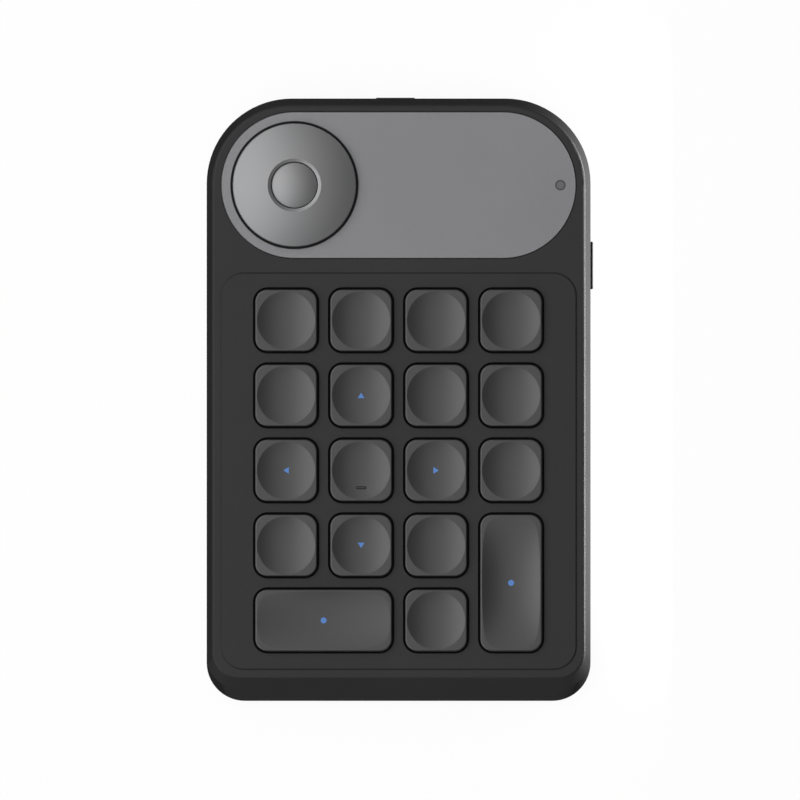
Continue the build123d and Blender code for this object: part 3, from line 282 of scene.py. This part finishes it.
# %% [markdown]
# ## Colours
# People write a colour as three levels from 0 to 255, spaced as the eye sees them. A shader
# counts light instead, where half the light is level 188. One helper turns the first into the
# second, and takes a single level for a grey. Two more place a group and mix two colours.

# %% Colours
def srgb(level):
    """Amount of light of a grey or colour channel written as 0 to 255."""
    value = level / 255
    return value / 12.92 if value <= 0.04045 else ((value + 0.055) / 1.055) ** 2.4


def colour(*levels):
    """Colour for a shader from a grey level, or from levels of red, green and blue."""
    levels = levels * 3 if len(levels) == 1 else levels
    return (*[srgb(level) for level in levels], 1)


def use_group(nodes, group, **values):
    """Place a node group with its own values; gives the node."""
    node = nodes.new("ShaderNodeGroup")
    node.node_tree = group
    for label, value in values.items():
        node.inputs[label].default_value = value
    return node


def mix_colour(nodes, links, factor, first, second):
    """Mix of two colours, each a colour or an output; gives the output."""
    node = nodes.new("ShaderNodeMix")
    node.data_type = "RGBA"
    links.new(factor, node.inputs[0])
    for socket, value in ((node.inputs[6], first), (node.inputs[7], second)):
        if hasattr(value, "is_linked"):
            links.new(value, socket)
        else:
            socket.default_value = value
    return node.outputs[2]


print("level 188 is", round(srgb(188), 3), "of the light")

# %% [markdown]
# ## One helper for a finish
# Every solid finish below ends in a Principled shader that is fed by the three groups: two tones
# mixed by the slow mask, a lighter tone on the edges, and a roughness and a bump from the grain.
# Each material could be wired by hand, but then a better grain would have to be put in twenty
# times.

# %% Finish
def finish(name, tones, roughness, grain, edge, worn_and_highlit_edge_tone, metallic=0.0, specular=0.5,
           slant=0.0):
    """Material with one Principled shader; gives the material, nodes, links and shader.

    tones are two colours, grain is (grains per metre, depth in metres, change of roughness), edge
    is (radius in metres, amount of the lighter edge), worn_and_highlit_edge_tone is the colour of
    the edges, which is wear and on some finishes also a painted highlight, and slant tells how
    fast the gloss falls off when the surface is looked at from the side.
    """
    material, nodes, links, output = new_material(name)
    shader = nodes.new("ShaderNodeBsdfPrincipled")
    shader.inputs["Metallic"].default_value = metallic
    shader.inputs["Specular IOR Level"].default_value = specular
    links.new(shader.outputs[0], output.inputs["Surface"])
    tone = use_group(nodes, tone_group, Scale=TONE_SCALE)
    body_colour = mix_colour(nodes, links, tone.outputs["Mask"], *tones)
    wear = use_group(nodes, worn_and_highlit_group, Radius=edge[0], Amount=edge[1])
    body_colour = mix_colour(nodes, links, wear.outputs["Mask"], body_colour, worn_and_highlit_edge_tone)
    if slant:
        facing = nodes.new("ShaderNodeLayerWeight")
        facing.inputs["Blend"].default_value = 0.5
        lost = maths(nodes, links, "MULTIPLY", facing.outputs["Facing"], slant * specular)
        kept = maths(nodes, links, "SUBTRACT", specular, lost)
        links.new(maths(nodes, links, "MAXIMUM", kept, 0.0), shader.inputs["Specular IOR Level"])
    links.new(body_colour, shader.inputs["Base Color"])
    scale, depth, change = grain
    surface = use_group(nodes, grain_group, Scale=scale)
    speckle_part = maths(nodes, links, "MULTIPLY", surface.outputs["Speckle"], change)
    links.new(maths(nodes, links, "ADD", speckle_part, roughness), shader.inputs["Roughness"])
    bump = nodes.new("ShaderNodeBump")
    bump.inputs["Strength"].default_value = 1.0
    bump.inputs["Distance"].default_value = depth
    links.new(surface.outputs["Height"], bump.inputs["Height"])
    links.new(bump.outputs["Normal"], shader.inputs["Normal"])
    return material, nodes, links, shader


def paint(material, *names):
    """Give CAD nodes one material."""
    for name in names:
        slots = NODES[name].data.materials
        slots.clear()
        slots.append(material)
    print(material.name, "on", len(names), "nodes")


print("finish shares:", tone_group.name, worn_and_highlit_group.name, grain_group.name)

# %% [markdown]
# ## The housing
# Both shells are moulded in a charcoal plastic whose mould was spark-eroded, which leaves a
# fine even grain that scatters the light. One dark grey with some roughness would pass from far
# off, but near by it looks like paper, so the grain is a real bump. Its pits hide one another at
# a slant, so a sloping wall has no gloss left and looks darker than the top. The edges are
# coloured a lighter grey, partly wear and partly a painted highlight for the line of light along
# the top edge.

# %% Housing
HOUSING_TONES = colour(40), colour(42)
# Painted highlight: the lighter edge colour stands partly for wear and partly for the light caught
# along the top edge.
housing_black = finish("housing_black", HOUSING_TONES, 0.55, (4200.0, 0.000008, 0.25),
                       (0.0004, 0.30), colour(52), specular=0.31, slant=1.8)[0]
paint(housing_black, "top_housing", "bottom_case")

# %% [markdown]
# ## The keys
# The caps have a satin grey coat. Their dishes gather light like a shallow spoon, so the gloss
# matters more than the colour. Below the housing's face the skirt and flange are painted nearly
# black and fully rough, a painted shade that keeps the gaps between the keys dark. Lower faces
# could get a second material, but a cap's mesh stays as it came, so the material asks how high
# each point lies.

# %% Keys
KEY_TONES = colour(25), colour(28)
SHADE_BELOW_Z = 11.1 * MM
COAT_IOR = 1.6
key_grey, nodes, links, shader = finish(
    "key_grey", KEY_TONES, 0.35, (6500.0, 0.000003, 0.10), (0.00025, 0.30), colour(40),
    specular=0.69)
shader.inputs["IOR"].default_value = COAT_IOR
place = nodes.new("ShaderNodeTexCoord")
parts = nodes.new("ShaderNodeSeparateXYZ")
links.new(place.outputs["Object"], parts.inputs[0])
# Painted shade: below this height the cap turns nearly black and fully rough, so the gaps round
# the keys stay dark.
painted_gap_shade = maths(nodes, links, "LESS_THAN", parts.outputs["Z"], SHADE_BELOW_Z)
coat_colour = shader.inputs["Base Color"].links[0].from_socket
coat_roughness = shader.inputs["Roughness"].links[0].from_socket
links.new(mix_colour(nodes, links, painted_gap_shade, coat_colour, colour(10)), shader.inputs["Base Color"])
links.new(maths(nodes, links, "MAXIMUM", coat_roughness, painted_gap_shade), shader.inputs["Roughness"])
paint(key_grey, *[name for name in NODES if name.startswith("keycap")])

# %% [markdown]
# ## Faceplate, dial and dial button
# The plate is sheet aluminium, blasted with fine glass beads and anodised grey. Brushed metal
# would need a grain that runs one way. Blasting leaves tiny dimples that blur every reflection
# into one even sheen, so the round grain does as it is. The dial and its button are turned from
# the same metal and blasted more finely, so they keep a softer gradient of light.

# %% Plate and dial
PLATE_TONES = colour(136, 136, 138), colour(138, 138, 140)
plate_grey = finish("plate_grey", PLATE_TONES, 0.50, (5200.0, 0.000006, 0.18), (0.00025, 0.5),
                    colour(146, 146, 148), metallic=1.0)[0]
DIAL_TONES = colour(142, 143, 144), colour(145, 145, 146)
# Painted highlight: the rim colour, far lighter than the metal, stands partly for wear and partly
# for the bright rim that light draws on the dial and its button.
dial_metal = finish("dial_metal", DIAL_TONES, 0.52, (7000.0, 0.000003, 0.10), (0.0003, 0.6),
                    colour(190, 190, 192), metallic=1.0)[0]
paint(plate_grey, "faceplate")
paint(dial_metal, "dial_cap", "dial_button")

# %% [markdown]
# ## Power button, feet and status light
# The power button is the housing's plastic with a smoother face. Its colour is set far darker
# than the housing's, a painted shade that hides the light of the low strip lamp beside the right
# wall. The feet are a rubber with a grippy, slightly dusty skin. The status light is the end of a
# smoked light pipe, which is polished and level with the plate. It could be made clear, but then
# the dark hole below it would show, so a smooth and shiny grey stands for the smoked plastic.

# %% Small outer parts
# Painted shade: these tones are kept far below the housing's, so the side strip's light on the
# button does not show.
button_black = finish("button_black", (colour(10), colour(12)), 0.55, (6000.0, 0.000003, 0.1),
                      (0.0003, 0.5), colour(20), specular=0.15)[0]
foot_rubber = finish("foot_rubber", (colour(62), colour(70)), 0.85, (2600.0, 0.000020, 0.1),
                     (0.0003, 0.2), colour(82), specular=0.3)[0]
smoked_lens = finish("smoked_lens", (colour(96), colour(100)), 0.25, (9000.0, 0.000001, 0.05),
                     (0.0002, 0.2), colour(110))[0]
paint(button_black, "power_button")
paint(foot_rubber, "rubber_feet")
paint(smoked_lens, "status_lens")

# %% [markdown]
# ## Metals inside and underneath
# Screws, springs and wires are bare or zinc-plated steel, the socket's shell is a darker nickel
# plate. Clean metal has no colour but that of its reflections, so Metallic is full and the tone
# alone tells the two apart.

# %% Metals
steel = finish("steel", (colour(150, 152, 156), colour(172, 173, 176)), 0.32,
               (7000.0, 0.000002, 0.2), (0.0002, 0.6), colour(205), metallic=1.0)[0]
dark_steel = finish("dark_steel", (colour(84, 85, 88), colour(98, 99, 101)), 0.30,
                    (6000.0, 0.000002, 0.15), (0.0002, 0.6), colour(150), metallic=1.0)[0]
paint(steel, "case_screws", "detent_spring", "dial_clip", "radio_shield",
      "stabiliser_wire_wide", "stabiliser_wire_tall")
paint(dark_steel, "usb_shell")

# %% [markdown]
# ## Plastics, rubber and boards inside
# What is inside shows only when the case is opened, and is finished all the same: a black
# engineering plastic for the frame, cups and switches, pale nylon for plugs and sliders, a milky
# silicone for the dome mat, green boards, and a foil battery with its tape and leads. Silicone
# lets light in for about a millimetre, which a paler colour can't show, so it alone scatters
# some of the light under its skin.

# %% Inside
inner_plastic = finish("inner_plastic", (colour(32), colour(38)), 0.5, (3000.0, 0.000006, 0.15),
                       (0.0003, 0.4), colour(62))[0]
plug_white = finish("plug_white", (colour(222, 219, 206), colour(230, 227, 216)), 0.42,
                    (3500.0, 0.000004, 0.1), (0.0002, 0.3), colour(240, 238, 230))[0]
board_green = finish("board", (colour(22, 78, 50), colour(28, 92, 60)), 0.35,
                     (1500.0, 0.000008, 0.15), (0.0002, 0.5), colour(150, 150, 90))[0]
battery_foil = finish("battery_foil", (colour(196, 198, 202), colour(214, 215, 218)), 0.34,
                      (350.0, 0.000060, 0.2), (0.0003, 0.3), colour(232), metallic=0.9)[0]
foam_tape = finish("tape", (colour(214, 212, 204), colour(226, 224, 216)), 0.8,
                   (2200.0, 0.000020, 0.1), (0.0002, 0.2), colour(236))[0]
lead_red = finish("lead_red", (colour(168, 26, 24), colour(184, 34, 30)), 0.35,
                  (2500.0, 0.000004, 0.1), (0.0001, 0.2), colour(206, 70, 60))[0]
lamp_clear = finish("lamp", (colour(228, 226, 206), colour(236, 234, 220)), 0.2,
                    (5000.0, 0.000002, 0.05), (0.0001, 0.2), colour(244))[0]
silicone_milky, _, _, silicone_shader = finish(
    "silicone", (colour(196, 196, 192), colour(206, 206, 202)), 0.5, (2800.0, 0.000006, 0.1),
    (0.0003, 0.3), colour(220))
silicone_shader.inputs["Subsurface Weight"].default_value = 0.3
silicone_shader.inputs["Subsurface Radius"].default_value = (MM, MM, MM)
paint(inner_plastic, "key_frame", "dial_bush", "dial_hub", "encoder_body", "button_switch",
      "power_switch", "usb_tongue")
paint(plug_white, "battery_plug", "ribbon_sockets", "encoder_rotor", "button_switch_actuator",
      "power_switch_actuator")
paint(board_green, "key_board", "main_board")
paint(battery_foil, "battery")
paint(foam_tape, "battery_tape")
paint(lead_red, "battery_leads")
paint(lamp_clear, "status_led")

# %% [markdown]
# The flat ribbon between the boards has parallel copper tracks under a clear film. They could
# be thin strips of their own, but can't be felt through the film. A wave texture across the
# ribbon's width gives them, and only the colour changes.

# %% Ribbon
TRACK_PITCH = 1.0 * MM
WAVES_PER_SCALE = 20 / math.tau      # what a wave texture draws in a metre at a scale of 1
ribbon_film, nodes, links, shader = finish(
    "ribbon", (colour(226, 224, 216), colour(232, 230, 222)), 0.3, (3000.0, 0.000002, 0.05),
    (0.0001, 0.2), colour(240))
place = nodes.new("ShaderNodeTexCoord")
tracks = nodes.new("ShaderNodeTexWave")
tracks.bands_direction = "X"
tracks.inputs["Scale"].default_value = 1 / (WAVES_PER_SCALE * TRACK_PITCH)
links.new(place.outputs["Object"], tracks.inputs["Vector"])
bands = spread(nodes, links, tracks.outputs["Fac"], 0.45, 0.55)
film_colour = mix_colour(nodes, links, bands, colour(228, 226, 218), colour(176, 132, 84))
links.new(film_colour, shader.inputs["Base Color"])
paint(ribbon_film, "ribbon_cable")

# %% [markdown]
# ## Blue marks on six keys
# Four single keys have a small arrowhead and both double keys a dot, moulded through in a clear
# blue. A print would be the easy way, but a print can't be felt and has no edge. So each mark is
# a thin inlay of its own: a three-sided prism for the arrowhead and a round one for the dot, with
# softened corners, sunk in the dish until it stands only a hair proud.

# %% Blue and sizes
DISH_FLOOR_Z = 11.75 * MM
MARK_PROUD = 0.035 * MM
MARK_THICKNESS = 0.12 * MM
ARROW_LENGTH, ARROW_WIDTH, ARROW_CORNER = 1.38 * MM, 1.72 * MM, 0.12 * MM
DOT_R = 0.76 * MM
ROUND_SIDES = 48             # of the dot, and of the domes and the ring further on

mark_blue = finish("mark_blue", (colour(88, 134, 204), colour(94, 140, 210)), 0.38,
                   (6500.0, 0.000002, 0.08), (0.0001, 0.3), colour(110, 154, 220), specular=0.3)[0]
print("finish:", mark_blue.name)

# %% [markdown]
# In a window the edges to soften are picked with the mouse. Here a test picks them: it is asked
# about each edge in turn, and accepts it by where it lies.

# %% Soften
def select_where(piece, wanted_face=None, wanted_edge=None):
    """In edit mode, select the faces or the edges that a test accepts."""
    bpy.ops.mesh.select_all(action="DESELECT")
    mesh = bmesh.from_edit_mesh(piece.data)
    for face in mesh.faces if wanted_face else ():
        face.select = wanted_face(face)
    for edge in mesh.edges if wanted_edge else ():
        edge.select = wanted_edge(edge)
    bmesh.update_edit_mesh(piece.data)


def soften(piece, width, wanted_edge, segments=4):
    """Bevel the edges of the active piece that a test accepts."""
    bpy.ops.object.mode_set(mode="EDIT")
    select_where(piece, wanted_edge=wanted_edge)
    bpy.ops.mesh.bevel(offset=width, segments=segments, affect="EDGES")
    bpy.ops.object.mode_set(mode="OBJECT")
    print(piece.name, "has", len(piece.data.polygons), "faces")


def upright(edge):
    """Test for an edge that stands up through a mark."""
    lower, upper = sorted(vertex.co.z for vertex in edge.verts)
    return upper - lower > MARK_THICKNESS / 2


def above(height):
    """Test for an edge with both its ends above a height."""
    return lambda edge: all(vertex.co.z > height for vertex in edge.verts)


# %% [markdown]
# A prism with three sides is an arrowhead already. Its middle lies two thirds of its length
# behind the tip, so it is set back by a sixth, which puts half its length on each side of the
# origin. Drawing its outline point by point would do as well, but takes more numbers.

# %% Arrowhead and dot
ARROW_R = ARROW_LENGTH / 1.5
ARROW_SCALE = ARROW_WIDTH / (ARROW_R * math.sqrt(3))
TOP_EDGE = MARK_PROUD / 2


def inlay(name, sides, radius, width_scale=1.0, middle_y=0.0):
    """Upright prism round the origin, its top a hair above the dish's floor."""
    middle_z = DISH_FLOOR_Z + MARK_PROUD - MARK_THICKNESS / 2
    bpy.ops.mesh.primitive_cylinder_add(
        vertices=sides, radius=radius, depth=MARK_THICKNESS, location=(0, middle_y, middle_z))
    piece = bpy.context.object
    piece.name = name
    piece.scale.x = width_scale
    bpy.ops.object.transform_apply(location=True, rotation=False, scale=True)
    return piece


arrow = inlay("arrow_pattern", 3, ARROW_R, ARROW_SCALE, -ARROW_LENGTH / 6)
soften(arrow, ARROW_CORNER, upright)
dot = inlay("dot_pattern", ROUND_SIDES, DOT_R)
soften(dot, TOP_EDGE, above(DISH_FLOOR_Z))

# %% [markdown]
# The arrowhead and the dot are modelled once, round the origin. Each mark is a copy with a mesh
# of its own, turned and moved to its key, and it rides on that key. The two patterns then go.

# %% Marks in place
PITCH = 19.05 * MM
FIRST_ROW_Y = 20.15 * MM
DOUBLE_KEYS = {"wide": (-PITCH, FIRST_ROW_Y - 4 * PITCH),
               "tall": (1.5 * PITCH, FIRST_ROW_Y - 3.5 * PITCH)}


def key_place(row, column):
    """Middle of a key, with rows counted from the rear and columns from the left."""
    return (column - 2.5) * PITCH, FIRST_ROW_Y - (row - 1) * PITCH


def copy_to(pattern, x, y, turn=0.0):
    """Copy of a piece with a mesh of its own, moved by x and y and turned; it is active."""
    piece = pattern.copy()
    piece.data = pattern.data.copy()
    bpy.context.collection.objects.link(piece)
    piece.location = (x, y, 0)
    piece.rotation_euler.z = math.radians(turn)
    bpy.ops.object.select_all(action="DESELECT")
    piece.select_set(True)
    bpy.context.view_layer.objects.active = piece
    return piece


def finish_piece(piece, name, material, body):
    """Name the active piece, put its place into its mesh, give it its material and its body."""
    piece.name = name
    bpy.ops.object.transform_apply(location=True, rotation=True, scale=True)
    piece.data.materials.append(material)
    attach(piece, body)
    bpy.ops.object.select_all(action="DESELECT")
    return piece


ARROWS = {"up": (2, 2, 0.0), "left": (3, 1, 90.0), "right": (3, 3, -90.0), "down": (4, 2, 180.0)}
for direction, (row, column, turn) in ARROWS.items():
    mark = copy_to(arrow, *key_place(row, column), turn)
    finish_piece(mark, f"mark_{direction}", mark_blue, f"keycap_row{row}_col{column}")
for which, (x, y) in DOUBLE_KEYS.items():
    finish_piece(copy_to(dot, x, y), f"mark_dot_{which}", mark_blue, f"keycap_{which}")
for pattern in (arrow, dot):
    bpy.data.objects.remove(pattern)
print("marks:", len(ARROWS) + len(DOUBLE_KEYS))

# %% [markdown]
# ## The dome mat
# Each key is pushed up by a hollow silicone dome, and the dome gives way under the finger. The
# construction model's mat is one stiff piece, and to flatten it would flatten every dome at
# once. So it is built again in pieces. The first is the thin sheet that carries the domes: a box
# as long and as wide as the stiff mat, with its edges softened.

# %% Mat sheet
MAT_TOP_Z = 4.5 * MM
SHEET_EDGE = 0.1 * MM
low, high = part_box("dome_mat")
bpy.ops.mesh.primitive_cube_add(
    size=1, location=((low[0] + high[0]) / 2, (low[1] + high[1]) / 2, (low[2] + MAT_TOP_Z) / 2))
sheet = bpy.context.object
sheet.name = "dome_mat_sheet"
sheet.scale = (high[0] - low[0], high[1] - low[1], MAT_TOP_Z - low[2])
bpy.ops.object.transform_apply(location=False, rotation=False, scale=True)
soften(sheet, SHEET_EDGE, lambda edge: True, segments=3)
finish_piece(sheet, "dome_mat_sheet", silicone_milky, "housing")
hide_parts("dome_mat")

# %% [markdown]
# A dome could be half a ball, but a real one is a cone with a thin wall, because a cone gives
# way all at once and clicks. Its base is inset twice, first flat for the foot and then inwards
# for the hollow, and its crown is softened. One is modelled, and every key gets a copy with a
# mesh of its own.

# %% Domes
DOME_HEIGHT, DOME_WALL = 2.7 * MM, 0.5 * MM
DOME_FOOT_R, DOME_CROWN_R, DOME_CROWN_EDGE = 3.3 * MM, 2.0 * MM, 0.25 * MM
CROWN_Z = MAT_TOP_Z + DOME_HEIGHT
LEVEL = 0.9                  # upright share of a normal, past which a face counts as level
SINGLE_KEYS = [(row, column) for row in (1, 2, 3) for column in (1, 2, 3, 4)]
SINGLE_KEYS += [(4, 1), (4, 2), (4, 3), (5, 3)]


def hollow_dome():
    """Hollow dome round the origin, standing on the sheet."""
    bpy.ops.mesh.primitive_cone_add(
        vertices=ROUND_SIDES, radius1=DOME_FOOT_R, radius2=DOME_CROWN_R, depth=DOME_HEIGHT,
        location=(0, 0, (MAT_TOP_Z + CROWN_Z) / 2))
    piece = bpy.context.object
    piece.name = "dome_pattern"
    bpy.ops.object.transform_apply(location=True, rotation=False, scale=False)
    bpy.ops.object.mode_set(mode="EDIT")
    select_where(piece, wanted_face=lambda face: face.normal.z < -LEVEL)
    bpy.ops.mesh.inset(thickness=DOME_WALL)
    bpy.ops.mesh.inset(thickness=DOME_FOOT_R - DOME_CROWN_R, depth=2 * DOME_WALL - DOME_HEIGHT)
    bpy.ops.object.mode_set(mode="OBJECT")
    soften(piece, DOME_CROWN_EDGE, above(CROWN_Z - DOME_WALL))
    return piece


dome_places = {f"row{row}_col{column}": key_place(row, column) for row, column in SINGLE_KEYS}
dome_places.update(DOUBLE_KEYS)
pattern = hollow_dome()
for key, (x, y) in dome_places.items():
    dome = finish_piece(copy_to(pattern, x, y), f"dome_{key}", silicone_milky, "housing")
    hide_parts("dome_mat")
    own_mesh(dome)
bpy.data.objects.remove(pattern)
highest = max(vertex.co.z for vertex in dome.data.vertices)
print("domes:", len(dome_places), "crowns at", round(highest / MM, 2), "mm")

# %% [markdown]
# ## The ring round the status light
# A thin dark ring is sunk in the plate round the light pipe. It is a washer, which could be cut
# from a cylinder with a boolean, but that leaves faces with many corners. Here the two lids of a
# short cylinder are inset and then joined through by bridging, which leaves clean quads.

# %% Status ring
PLATE_TOP_Z = 11.05 * MM
LENS_X, PLATE_Y = 41.1 * MM, 54.5 * MM
RING_OUTER_R, RING_INNER_R = 1.34 * MM, 1.02 * MM
RING_THICKNESS, RING_PROUD = 0.1 * MM, 0.015 * MM
ring_black = finish("ring_black", (colour(52), colour(56)), 0.4, (6500.0, 0.000002, 0.1),
                    (0.0001, 0.2), colour(70))[0]
bpy.ops.mesh.primitive_cylinder_add(
    vertices=ROUND_SIDES, radius=RING_OUTER_R, depth=RING_THICKNESS,
    location=(LENS_X, PLATE_Y, PLATE_TOP_Z + RING_PROUD - RING_THICKNESS / 2))
ring = bpy.context.object
bpy.ops.object.mode_set(mode="EDIT")
select_where(ring, wanted_face=lambda face: abs(face.normal.z) > LEVEL)
bpy.ops.mesh.inset(thickness=RING_OUTER_R - RING_INNER_R)
bpy.ops.mesh.bridge_edge_loops()
bpy.ops.mesh.select_all(action="SELECT")
bpy.ops.mesh.normals_make_consistent(inside=False)
bpy.ops.object.mode_set(mode="OBJECT")
finish_piece(ring, "status_ring", ring_black, "housing")
print("status ring:", len(ring.data.polygons), "faces")
